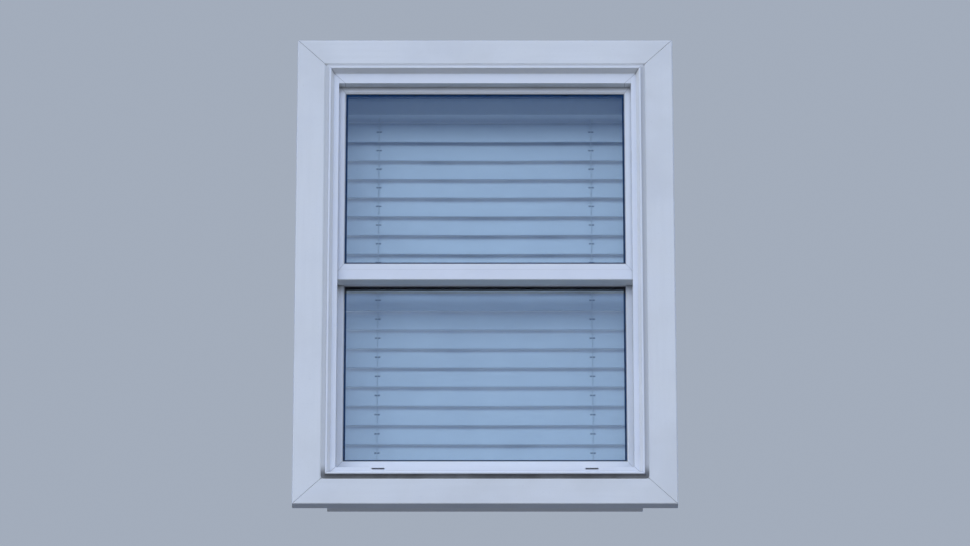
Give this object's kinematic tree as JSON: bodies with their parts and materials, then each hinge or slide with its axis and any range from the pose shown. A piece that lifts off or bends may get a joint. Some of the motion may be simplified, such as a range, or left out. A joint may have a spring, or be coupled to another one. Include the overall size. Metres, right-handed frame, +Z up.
{
  "type": "double-hung window",
  "caption": "White double-hung window with mitred flat casing, two sliding insulated sashes, sash lock, lined opening and a closed slatted blind.",
  "frame": {"origin": "middle of the frame's bottom edge, on the outer face of the wall", "axes": "+X to the right seen from outside, +Y into the room, +Z up"},
  "size_m": [0.9, 0.202, 1.25],
  "materials": {
    "casing_board": "satin white",
    "vinyl": "satin white vinyl",
    "painted_board": "painted white",
    "glass": "clear",
    "spacer_metal": "dark anodised",
    "seal": "grey",
    "lock_paint": "white enamel",
    "steel": "bright",
    "moulded_plastic": "moulded",
    "enamelled_steel": "white enamel",
    "blind_slat": "satin white",
    "blind_fitting": "moulded"
  },
  "bodies": {
    "frame": {"blind_brackets": "enamelled_steel", "blind_head_rail": "enamelled_steel", "blind_slats": "blind_slat", "blind_tilter": "blind_fitting", "blind_valance": "blind_slat", "bracket_screws": "steel", "casing_bottom": "casing_board", "casing_head": "casing_board", "casing_left": "casing_board", "casing_right": "casing_board", "frame_head": "vinyl", "frame_jamb_left": "vinyl", "frame_jamb_right": "vinyl", "frame_sill": "vinyl", "liner_head": "painted_board", "liner_left": "painted_board", "liner_right": "painted_board", "liner_sill": "painted_board", "lower_balance_strips": "steel", "rail_inserts": "moulded_plastic", "strip_anchors": "moulded_plastic", "tilt_rod": "steel", "upper_balance_strips": "steel", "valance_clips": "blind_fitting"},
    "upper_sash": {"lock_keeper": "lock_paint", "upper_balance_coils": "steel", "upper_balance_shoe_left": "moulded_plastic", "upper_balance_shoe_right": "moulded_plastic", "upper_check_rail": "vinyl", "upper_glazing_beads": "vinyl", "upper_pane_inner": "glass", "upper_pane_outer": "glass", "upper_pivot_bars": "steel", "upper_spacer": "spacer_metal", "upper_stile_left": "vinyl", "upper_stile_right": "vinyl", "upper_top_rail": "vinyl"},
    "lower_sash": {"bottom_seal": "seal", "lock_housing": "lock_paint", "lock_screws": "steel", "lower_balance_coils": "steel", "lower_balance_shoe_left": "moulded_plastic", "lower_balance_shoe_right": "moulded_plastic", "lower_bottom_rail": "vinyl", "lower_glazing_beads": "vinyl", "lower_meeting_rail": "vinyl", "lower_pane_inner": "glass", "lower_pane_outer": "glass", "lower_pivot_bars": "steel", "lower_spacer": "spacer_metal", "lower_stile_left": "vinyl", "lower_stile_right": "vinyl", "meeting_rail_seal": "seal"},
    "blind_bottom": {"blind_bottom_rail": "blind_slat"},
    "wand": {"blind_wand": "blind_fitting"},
    "lock_cam": {"lock_cam": "lock_paint"},
    "lower_latch_left": {"lower_tilt_latch_left": "moulded_plastic"},
    "lower_latch_right": {"lower_tilt_latch_right": "moulded_plastic"},
    "upper_latch_left": {"upper_tilt_latch_left": "moulded_plastic"},
    "upper_latch_right": {"upper_tilt_latch_right": "moulded_plastic"}
  },
  "joints": [
    {"name": "upper_sash_slide", "type": "slide", "parent": "frame", "child": "upper_sash", "axis": [0, 0, 1], "range_m": [-0.42, 0], "deforming": ["upper_balance_strips"]},
    {"name": "lower_sash_slide", "type": "slide", "parent": "frame", "child": "lower_sash", "axis": [0, 0, 1], "range_m": [0, 0.42], "deforming": ["lower_balance_strips"]},
    {"name": "lock_turn", "type": "hinge", "parent": "lower_sash", "child": "lock_cam", "pos_m": [0, 0.0469, 0.594], "axis": [0, 0, 1], "range_deg": [-135, 0]},
    {"name": "blind_lift", "type": "slide", "parent": "frame", "child": "blind_bottom", "axis": [0, 0, 1], "range_m": [0, 0.9], "deforming": ["blind_slats"]},
    {"name": "wand_turn", "type": "hinge", "parent": "frame", "child": "wand", "pos_m": [-0.3, 0.1542, 0.9], "axis": [0, 0, 1], "continuous": true},
    {"name": "upper_latch_left_slide", "type": "slide", "parent": "upper_sash", "child": "upper_latch_left", "axis": [1, 0, 0], "range_m": [0, 0.01], "stiffness_N_per_m": 400, "springref_m": -0.002},
    {"name": "upper_latch_right_slide", "type": "slide", "parent": "upper_sash", "child": "upper_latch_right", "axis": [-1, 0, 0], "range_m": [0, 0.01], "stiffness_N_per_m": 400, "springref_m": -0.002},
    {"name": "lower_latch_left_slide", "type": "slide", "parent": "lower_sash", "child": "lower_latch_left", "axis": [1, 0, 0], "range_m": [0, 0.01], "stiffness_N_per_m": 400, "springref_m": -0.002},
    {"name": "lower_latch_right_slide", "type": "slide", "parent": "lower_sash", "child": "lower_latch_right", "axis": [-1, 0, 0], "range_m": [0, 0.01], "stiffness_N_per_m": 400, "springref_m": -0.002}
  ]
}
